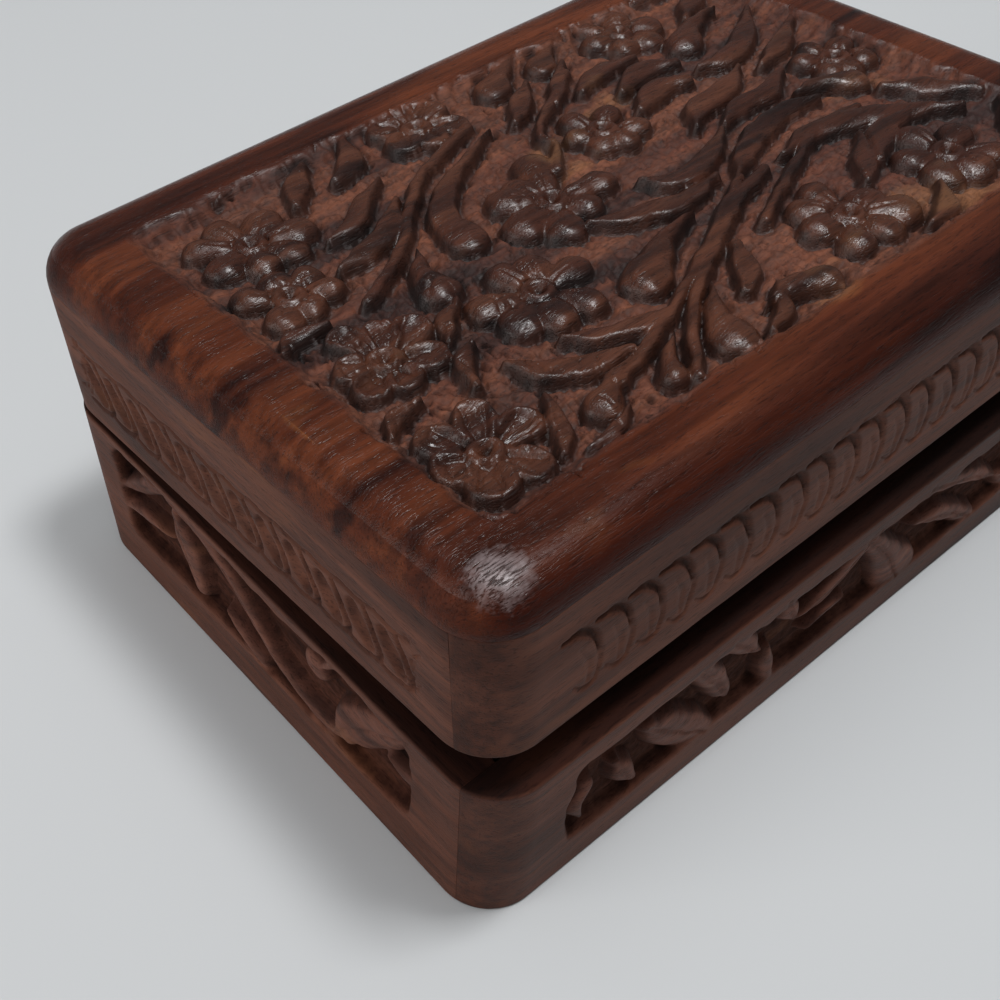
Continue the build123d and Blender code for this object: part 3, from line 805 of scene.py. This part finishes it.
def scale_band(carving, length):
    """A row of leaning leaves, each cut free by a crescent that is deepest at its head."""
    first, last = band_border - length / 2, length / 2 - band_border
    pitch = 5.7
    for k in range(int((last - first) / pitch)):
        x = first + k * pitch
        crescent = [(x - 0.8, 17.2), (x + 2.6, 16.7), (x + 4.9, 14.2), (x + 5.9, 10.8)]
        carving.groove(crescent, (0.3, 0.85, 0.6, 0.2), 1.0)
        carving.groove([(x + 5.7, 12.4), (x + 6.1, 9.0), (x + 5.2, 5.4)], (0.5, 0.5, 0.3), 0.35)
        carving.groove([(x + 2.4, 13.6), (x + 3.9, 10.2), (x + 3.9, 6.2)], (0.3, 0.7, 0.4), 0.2)
        carving.groove([(x + 1.6, 6.4), (x + 3.4, 5.0), (x + 5.2, 5.4)], (0.3, 0.55, 0.3), 0.4)
    carving.nick(60, (first - 1, last, 17.0, 18.2), 10, 0.3, 15)


def lid_rail(side, carving, length, face, uneven_seed, wedge=None):
    """A rail of the lid, faintly uneven, with its lower arris eased more than its upper one."""
    heights = carving.heights(0.0) + 0.03 * patches(carving.across, carving.up, 7.0, uneven_seed)
    upper_share = np.where(carving.up < 10, 1.0, 0.12)
    heights -= eased_arris(lid_rows, rim_level, rail_top)[:, None] * upper_share
    name = f"carved_lid_{side}_rail"
    return carved_board(name, side, carving, heights, length, (0, lid_middle), face, wedge)


for side, seed in (("front", 51), ("back", 61)):
    carving = Carving(lid_columns, lid_rows, seed, 0.18)
    scale_band(carving, lid_length)
    wedge = None
    if side == "back":
        wedge = stop_rim_depth * (1 - (lid_rows - rim_level) / stop_reach)
    rail = lid_rail(side, carving, lid_length, lid_width / 2, 71, wedge)
    if side == "back":
        cut_hinge_seats(rail, 0, 0, 1)
    tilt_lid_piece(rail)
    finish_solid(rail, side_wood_x, "lid", f"lid_{side}_rail")

# Left and right rails of the lid: between the long rails, with a band of slanted, hollowed
# leaves between a wavy line and a scalloped one.
lid_short_half = lid_width / 2 - wall
lid_short_columns = spread(-lid_short_half, lid_short_half, 0.29, 0.38, 30)


def leaf_band(carving, length):
    """Leaning hollow ovals, each framed by a bead, between a wavy line and a scalloped one."""
    first, last = 15.0 - length / 2, length / 2 - 15.5
    pitch = 6.7
    for k in range(int((last - first) / pitch) + 1):
        x = first + k * pitch
        carving.groove([(x - 1.5, 12.8), (x, 9.9), (x + 1.5, 7.1)], (1.3, 1.9, 1.2), 0.95)
        carving.groove([(x + 1.2, 14.4), (x + 2.9, 10.6), (x + 3.9, 6.9), (x + 2.8, 5.2)],
                       (0.3, 0.55, 0.65, 0.35), 0.85)
        carving.groove([(x - 2.8, 5.6), (x, 4.9), (x + 2.8, 5.4)], (0.3, 0.45, 0.35), 0.6)
        carving.groove([(x - 3.4, 15.6), (x, 15.0), (x + 3.4, 15.6)], (0.3, 0.45, 0.3), 0.45)
    for end in (first - 3, last + 2):
        carving.nick(9, (end - 1.2, end + 1.2, 6, 16), 60, 0.6, 17)


for side, seed in (("left", 81), ("right", 91)):
    carving = Carving(lid_short_columns, lid_rows, seed, 0.2)
    leaf_band(carving, lid_width)
    rail = lid_rail(side, carving, lid_width, lid_length / 2, 72)
    tilt_lid_piece(rail)
    finish_solid(rail, side_wood_y, "lid", f"lid_{side}_rail")

# Top board of the lid: one thick board of redder wood, glued on the rails. Its upper edge
# is rounded over, and its sunk field is carved with flowers, buds and long leaves.
top_level, top_height = 23.65, 30.15
edge_round = 6.3
field_border = 11.3
flat_x, flat_y = lid_length / 2 - edge_round, lid_width / 2 - edge_round
flat_corner = corner_radius - edge_round
top_columns = spread(-flat_x, flat_x, 0.23, 0.34, -flat_x)
top_rows = spread(-flat_y, flat_y, 0.23, 0.34, -flat_y)
carving = Carving(top_columns, top_rows, 101, 0.35)
field_left, field_foot = field_border - lid_length / 2, field_border - lid_width / 2
field = (field_left, -field_left, field_foot, -field_foot)
field_corner, field_depth, field_slope, field_wave = 5.0, 2.1, 3.8, 1.0
carving.sink(*field, field_corner, field_depth, field_slope, field_wave)


def on_top(place):
    """A place given from the board's near left corner, in millimetres."""
    return (place[0] + 0.35 - lid_length / 2, place[1] + 0.45 - lid_width / 2)


def flower(carving, place, petals, half_width=3.1, scoop=0.0, eye=2.6):
    """Petals round a ring with a pit. Each petal has its angle and how far it reaches."""
    centre = np.array(on_top(place))
    for k, (angle, reach) in enumerate(petals):
        way = np.array((math.cos(math.radians(angle)), math.sin(math.radians(angle))))
        half = half_width * (1.0 + 0.1 * math.sin(5 * k + place[0]))
        reach -= 0.4 + 0.8 * max(0, math.cos(math.radians(angle - 230)))
        inner, outer = centre + way * eye * 0.8, centre + way * (reach - half)
        carving.stand(
            [inner, outer],
            (half * 0.5, half),
            crest=-0.02 - 0.16 * (k % 3),
            edge=-0.8 if scoop else -1.9,
            lean=0.25 * math.sin(3 * k + place[1]),
            scoop=scoop * (1.0 if k % 2 else 1.35),
            full=0.35 if scoop else 0.6,
            fall=0.7,
        )
        if not scoop:
            vein = centre + way * (eye + 0.2), centre + way * (reach * 0.62)
            carving.groove(vein, (0.45, 0.2), 0.35)
            continue
        for side in (-13, 12):
            turned = math.radians(angle + side)
            rib = np.array((math.cos(turned), math.sin(turned)))
            carving.groove((centre + rib * (eye + 0.3), centre + rib * (reach - 1.4)), (0.5, 0.3), 0.45)
    distance = np.hypot(carving.x - centre[0], carving.y - centre[1])
    ring_height = -0.4 - 1.5 * np.clip(np.abs(distance - eye * 0.7) / (eye * 0.6), 0, 1) ** 1.6
    inside = distance < eye * 1.12
    carving.raised = np.where(inside, ring_height, carving.raised)
    carving.cuts = np.where(inside, 0.0, carving.cuts)


def bud(carving, points, head, scoop=0.0, lean=0.0):
    """A bud: round and full at its head, drawn out to a thin tail."""
    count = len(points)
    widths = [max(0.94 * head * (1 - k / (count - 1)) ** 0.8, 0.3) for k in range(count)]
    carving.stand([on_top(p) for p in points], widths, 0.1, -2.0, lean, scoop, 0.55)


def blade(carving, points, half_width, lean=0.3, scoop=0.25):
    """A long curved leaf, widest in its middle, hollowed and leaning to one side."""
    count = len(points)
    half_width -= 0.25
    widths = [max(half_width * math.sin(math.pi * (k + 0.3) / (count - 0.4)), 0.3) for k in range(count)]
    carving.stand([on_top(p) for p in points], widths, -0.05, -1.0, lean, scoop, 0.7)


def stem(carving, points, half_width):
    """A thin even stem."""
    carving.stand([on_top(p) for p in points], [half_width] * len(points), -0.35, -0.9)


stems = (
    ([(29, 56.5), (35, 59.8), (40.5, 63), (46, 68.2), (53, 74.6), (61, 79), (71, 82.6)], 0.9),
    ([(50, 13.5), (54, 18), (60, 23.5), (68, 28.5), (77, 33), (86, 37.5), (95, 40)], 0.9),
    ([(42, 19.5), (50, 22.5), (60, 26.5), (70, 31), (80, 36), (90, 41)], 0.8),
    ([(72, 62.5), (76.5, 67.5), (77.5, 72), (81, 75.5), (87, 79), (95, 84)], 0.8),
    ([(84, 31), (92, 34.5), (101, 38.5), (110, 42), (120, 42)], 0.8),
)
blades = (
    ([(33.8, 32.8), (36.3, 28.2), (41.5, 25), (48, 23.4)], 2.7, -0.3, 0.5),
    ([(43, 31.4), (46.8, 28.4), (52.5, 26.4), (58.5, 26)], 2.3, -0.3, 0.4),
    ([(65, 48.5), (69.5, 46), (75, 44), (81, 43), (88, 44)], 2.7, -0.3, 0.4),
    ([(79, 51.5), (81.5, 48.2), (86.5, 47.3), (93, 49.3), (99, 52.5)], 2.6, -0.3, 0.4),
    ([(90, 41.5), (96, 44.8), (103, 48), (111, 49.5), (118, 48)], 2.3),
    ([(100, 40.6), (108, 42), (116, 40), (124, 35.5), (132, 30)], 2.6),
    ([(34, 72.3), (39.5, 73.4), (44, 77), (50, 80.5)], 2.2, -0.4),
    ([(31, 64.8), (37, 66.5), (43, 68.8), (48.5, 73.8)], 2.3),
    ([(69, 21.5), (73, 25), (76.5, 30)], 2.4, 0.2, 0.7),
    ([(103, 27), (108, 31), (113, 36)], 2.2),
    ([(109.5, 29.5), (116, 34), (125, 35)], 2.4),
    ([(97, 56), (102, 60), (109, 61), (117, 64)], 2.6),
    ([(101, 53), (107, 55.5), (114, 55.5), (121, 58)], 2.2),
    ([(36.5, 83), (39.5, 88), (44, 92)], 2.3),
    ([(45, 84.5), (50.5, 88), (53.5, 94)], 2.5),
    ([(77, 77.5), (82, 81.5), (87.5, 86)], 2.2),
    ([(86.5, 77.5), (91, 81.5), (97, 87)], 1.8),
    ([(92, 77.5), (99, 80.3), (107, 79.5)], 2.4, -0.3, 0.4),
    ([(95, 66), (101, 69), (108, 67.5)], 2.6),
    ([(97, 72.5), (104, 75), (111, 73)], 2.4),
    ([(112, 69), (119, 68), (127, 71.5), (135, 77.5)], 2.5),
    ([(120, 62), (128, 64.5), (137, 69.5)], 2.2),
    ([(124, 83), (130, 87), (137, 90)], 2.3),
    ([(122, 93.5), (129, 94), (136, 95)], 1.6),
    ([(128, 43), (133, 38), (138, 31)], 2.4),
    ([(128, 14), (133, 20), (138, 27)], 2.5),
    ([(62, 94.5), (70, 96.5), (78, 95)], 1.7),
    ([(28, 93), (34, 95.5), (41, 96)], 1.6),
    ([(64, 12.8), (69, 15), (73, 19)], 1.5),
    ([(100, 13.5), (106, 14.5), (110, 19)], 1.9),
    ([(27.5, 31.5), (29.5, 36.5), (33, 39)], 1.7),
    ([(27, 14.5), (30, 18.5), (32.5, 24)], 1.8, 0.2, 0.5),
    ([(13, 31.5), (15.5, 34), (20, 34.8)], 1.6, 0.3, 0.4),
    ([(29.5, 13), (34.5, 13.4), (39, 15)], 1.3, 0.2, 0.3),
    ([(12.6, 54.5), (16, 56.6), (21.5, 56.4)], 1.6, 0.3, 0.4),
    ([(31, 41.5), (34, 45.5), (38.5, 48)], 1.6, -0.3, 0.4),
)
buds = (
    ([(49.6, 58.6), (50.6, 64.5), (55.5, 70.5), (63, 74.8), (73, 78.8)], 3.7, 0.55),
    ([(38.3, 51.7), (38.8, 56.5), (41.5, 60.4)], 3.7),
    ([(61, 33), (66, 36), (71.5, 38.4), (78, 39.4)], 4.0),
    ([(36.8, 17.8), (41, 20.2), (47, 22)], 3.1),
    ([(47.9, 15.8), (50, 19), (54, 21.5)], 2.4),
    ([(59.6, 15.8), (61.5, 20.5), (66, 25.5)], 3.9),
    ([(78.7, 15.9), (73.5, 17.8), (68, 17.2)], 3.3),
    ([(127, 48), (121, 51), (115, 51.5)], 3.2),
    ([(117.2, 77), (123, 80.5), (131, 82)], 3.7),
    ([(82.6, 89.3), (87, 92), (93, 95)], 3.4, 0.4),
    ([(93.6, 89), (98, 92.5), (103, 96)], 2.9, 0.6),
)
flowers = (
    ((25, 80),
     ((200, 10.6), (253, 9.2), (307, 10.2), (347, 11.5), (38, 10.5), (97, 10.2), (146, 11))),
    ((21.5, 65.3),
     ((141, 9.2), (226, 9.4), (285, 7.2), (340, 9.2), (25, 8.6), (85, 7.8)), 2.8),
    ((22.5, 44.5),
     ((100, 10.5), (60, 8.8), (22, 10.6), (165, 8.6), (214, 10), (265, 8.4), (322, 9.4)), 2.9, 0.75, 2.6),
    ((20, 21.6),
     ((233, 10.2), (295, 10), (8, 10.4), (62, 10.2), (120, 10), (175, 8.8)), 3.2, 0.8, 2.5),
    ((48, 41.5),
     ((100, 10), (163, 12), (208, 11.6), (251, 10.6), (300, 10.8), (8, 11), (54, 9.6))),
    ((65.5, 57),
     ((137, 11), (194, 12), (242, 11.6), (305, 9), (352, 12.6), (102, 9.8), (62, 14.4)), 3.3),
    ((94, 23.5),
     ((172, 9.6), (228, 11), (285, 9.8), (328, 12), (8, 9.2), (78, 10.6), (125, 9.4))),
    ((118.5, 23.5),
     ((90, 10), (150, 9.4), (210, 10.4), (265, 9.4), (320, 10.2), (25, 10.2)), 3.2),
    ((86, 66),
     ((163, 8), (103, 9), (222, 7.8), (275, 7.8), (332, 8.4), (42, 8.6)), 2.7),
    ((64.8, 88.4),
     ((207, 9.6), (262, 8), (322, 9.4), (22, 8.6), (85, 8), (145, 8.6)), 2.9, 0.5),
    ((112, 88),
     ((178, 9), (235, 9), (292, 9.4), (345, 9.4), (52, 9), (118, 9)), 3.1),
    ((131, 55),
     ((150, 8.4), (205, 8), (262, 7.6), (318, 8), (30, 8.4), (90, 8)), 2.7),
)
for form, rows in ((stem, stems), (blade, blades), (bud, buds), (flower, flowers)):
    for row in rows:
        form(carving, *row)

near_corner = (field_left, field_left + 32, field_foot, field_foot + 44)
left_border = (field_left - 5, field_left + 2, field_foot - 5, field_foot + 50)
front_border = (field_left - 5, field_left + 34, field_foot - 5, field_foot + 1)
for count, area, angle, depth, seed, in_ground in (
    (330, field, 60, 0.7, 7, True),
    (300, near_corner, 120, 1.2, 8, True),
    (230, near_corner, 60, 0.42, 12, False),
    (260, field, 20, 0.12, 11, False),
    (140, left_border, 30, 0.1, 9, False),
    (100, front_border, 30, 0.09, 10, False),
):
    carving.nick(count, area, angle, depth, seed, in_ground)
heights = carving.heights(0.42)
inner_x, inner_y = flat_x - flat_corner, flat_y - flat_corner
squared_x = np.clip((np.abs(carving.across) - inner_x) / flat_corner, 0, 1)
squared_y = np.clip((np.abs(carving.up) - inner_y) / flat_corner, 0, 1)
rounded_x = squared_x * np.sqrt(1 - squared_y**2 / 2) * flat_corner
rounded_y = squared_y * np.sqrt(1 - squared_x**2 / 2) * flat_corner
across = np.sign(carving.across) * (np.minimum(np.abs(carving.across), inner_x) + rounded_x)
up = np.sign(carving.up) * (np.minimum(np.abs(carving.up), inner_y) + rounded_y)
points = np.stack((across, up + lid_middle, top_height + heights), axis=-1)
finish = tones(carving, heights)
warm_places = (
    (35, 79, 5.5), (72, 64, 7), (112, 15, 9), (4, 70, 8), (8, 50, 7), (96, 78, 6), (76, 12, 7)
)
finish["warm"] = np.zeros_like(heights)
for x, y, radius in warm_places:
    middle_x, middle_y = on_top((x, y))
    off_x, off_y = (carving.across - middle_x) / radius, (carving.up - middle_y) / radius
    finish["warm"] += np.exp(-(off_x**2) - off_y**2)
top_board = carved_sheet("carved_lid_top_board", points, finish)

edge_steps, lower_arris = 10, 0.05
edge_rings = [
    (top_height - edge_round * (1 - math.cos(turned)), edge_round * math.sin(turned))
    for turned in (math.radians(90) * (step / edge_steps) for step in range(1, edge_steps + 1))
]
edge_rings += [(top_level + lower_arris, edge_round), (top_level, edge_round - lower_arris)]
select_open_edge()
before = 0.0
for level, reach in edge_rings:
    bpy.ops.mesh.extrude_region_move()
    bpy.ops.object.mode_set(mode="OBJECT")
    count = len(top_board.data.vertices)
    chosen, places = np.zeros(count, bool), np.zeros(count * 3, np.float32)
    top_board.data.vertices.foreach_get("select", chosen)
    top_board.data.vertices.foreach_get("co", places)
    places = places.reshape(-1, 3)
    x, y = places[chosen, 0] / mm, places[chosen, 1] / mm - lid_middle
    way_x = np.copysign(np.maximum(np.abs(x) - inner_x, 0), x)
    way_y = np.copysign(np.maximum(np.abs(y) - inner_y, 0), y)
    grown = (reach - before) / np.hypot(way_x, way_y)
    placed = np.stack((x + way_x * grown, y + way_y * grown + lid_middle, np.full_like(x, level)), -1)
    places[chosen] = placed * mm
    top_board.data.vertices.foreach_set("co", places.ravel())
    before = reach
    bpy.ops.object.mode_set(mode="EDIT")
fill_open_edge()
fewer = top_board.modifiers.new("fewer_faces", "DECIMATE")
most_triangles = 190000
fewer.ratio = most_triangles / sum(len(face.vertices) - 2 for face in top_board.data.polygons)
bpy.ops.object.modifier_apply(modifier=fewer.name)
tilt_lid_piece(top_board)

top_shades = ((0.03, 0.006, 0.003), (0.08, 0.018, 0.007), (0.12, 0.031, 0.012))
# The near left corner's rounding, where a pale patch paints the highlight.
highlight_corner = lid_place @ Vector(
    ((7.2 - lid_length / 2) * mm, (lid_middle + 5.2 - lid_width / 2) * mm, (top_height - 0.3) * mm)
)
top_wood, edge_wood, carved_wood = (
    hardwood(
        name, False, top_shades, (0.19, 0.062, 0.02), 0.66, 5, gloss, pores, 24.0,
        ground_tone=(1.3, 1.62, 2.0), crown_tone=(0.78, 1.0, 1.3), shine=shine,
        painted_hollow_shade=(0.5, 0.45, 0.45), heartwood_and_front_shade=True, highlight_place=highlight_corner,
    )
    for name, gloss, shine, pores in (
        ("top_wood", 0.24, 0.24, 0.07),
        ("top_wood_edge", 0.42, 0.11, 0.12),
        ("top_wood_carved", 0.22, 0.46, 0.07),
    )
)
finish_solid(top_board, top_wood, "lid", "lid_top_board")
top_board.data.materials.append(edge_wood)
top_board.data.materials.append(carved_wood)
tilted_middle = (lid_place @ Vector((0, lid_middle * mm, top_height * mm))).y
upward, steep = lid_place.to_3x3() @ Vector((0, 0, 1)), 0.72
for face in top_board.data.polygons:
    x, y = abs(face.center.x) / mm, abs(face.center.y - tilted_middle) / mm
    if x < -field_left and y < -field_foot:
        face.material_index = 2
    elif (x > flat_x or y > flat_y) and face.normal.dot(upward) < steep:
        face.material_index = 1

# Hinges: two small pressed brass butt hinges at the back, dulled by age. Their leaves, pins
# and screws stay as they are, and get a brass with darker, rougher patches.
brass, tree, shader = new_material("aged_brass")
shader.inputs["Metallic"].default_value = 1.0
where = add_node(tree, "ShaderNodeTexCoord").outputs["Object"]
tarnish = noise_of(tree, where, (220, 220, 220), 4, 2)
scratches = noise_of(tree, where, (300, 6000, 6000), 2, 6)
tone = ramp(tree, tarnish, (0.35, (0.30, 0.19, 0.08)), (0.6, (0.72, 0.50, 0.22)))
tree.links.new(tone, shader.inputs["Base Color"])
tree.links.new(ramp(tree, scratches, (0.3, 0.28), (0.7, 0.45)), shader.inputs["Roughness"])
bump = add_node(tree, "ShaderNodeBump", Strength=0.3, Distance=0.02 * mm, Height=scratches)
tree.links.new(bump.outputs["Normal"], shader.inputs["Normal"])
for name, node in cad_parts.items():
    if "_hinge_" in name:
        node.data.materials.clear()
        node.data.materials.append(brass)
